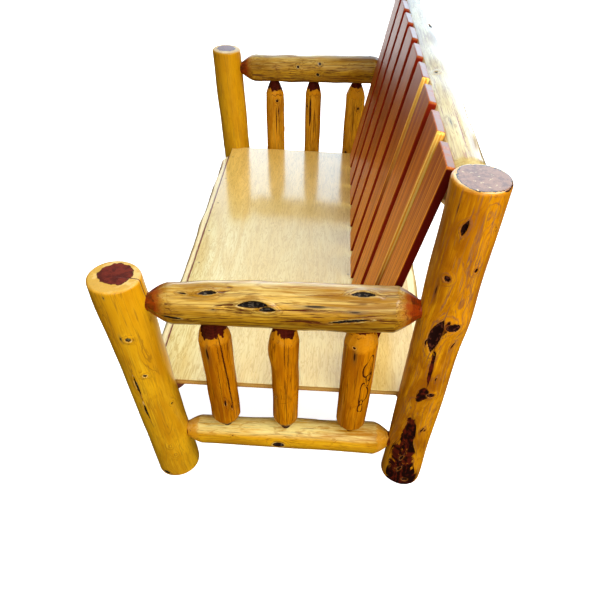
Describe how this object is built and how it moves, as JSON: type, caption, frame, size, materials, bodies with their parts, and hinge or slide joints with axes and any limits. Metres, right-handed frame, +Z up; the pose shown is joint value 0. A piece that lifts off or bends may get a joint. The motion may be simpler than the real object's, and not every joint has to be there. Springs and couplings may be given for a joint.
{
  "type": "log sofa",
  "caption": "Rustic sofa frame of peeled, varnished logs with round tenon joints, a plywood seat deck, spindled arm ends and a leaning back of red cedar boards.",
  "frame": {"origin": "middle of the sofa's floor print, on the floor", "axes": "+X along the sofa to its left-hand end as sat on, +Y from front to back, +Z up"},
  "size_m": [1.5774, 0.8136, 0.944],
  "materials": {
    "post_log": "peeled log, amber gloss varnish",
    "rail_log": "peeled log, gloss varnish",
    "spindle_log": "peeled log, amber gloss varnish",
    "plywood": "birch plywood, gloss varnish",
    "cedar_board": "planed red cedar, gloss varnish",
    "lumber": "planed, plain",
    "screw_steel": "yellow zinc screw head"
  },
  "bodies": {
    "root": {"front_post_left": "post_log", "front_post_right": "post_log", "back_post_left": "post_log", "back_post_right": "post_log", "arm_rail_left": "rail_log", "arm_rail_right": "rail_log", "lower_end_rail_left": "rail_log", "lower_end_rail_right": "rail_log", "front_seat_rail": "rail_log", "rear_seat_rail": "rail_log", "back_top_rail": "rail_log", "spindle_left_1": "spindle_log", "spindle_left_2": "spindle_log", "spindle_left_3": "spindle_log", "spindle_right_1": "spindle_log", "spindle_right_2": "spindle_log", "spindle_right_3": "spindle_log", "deck_panel": "plywood", "seat_joist_1": "lumber", "seat_joist_2": "lumber", "seat_joist_3": "lumber", "slat_cleat": "lumber", "back_slat_1": "cedar_board", "back_slat_2": "cedar_board", "back_slat_3": "cedar_board", "back_slat_4": "cedar_board", "back_slat_5": "cedar_board", "back_slat_6": "cedar_board", "back_slat_7": "cedar_board", "back_slat_8": "cedar_board", "back_slat_9": "cedar_board"}
  },
  "joints": []
}
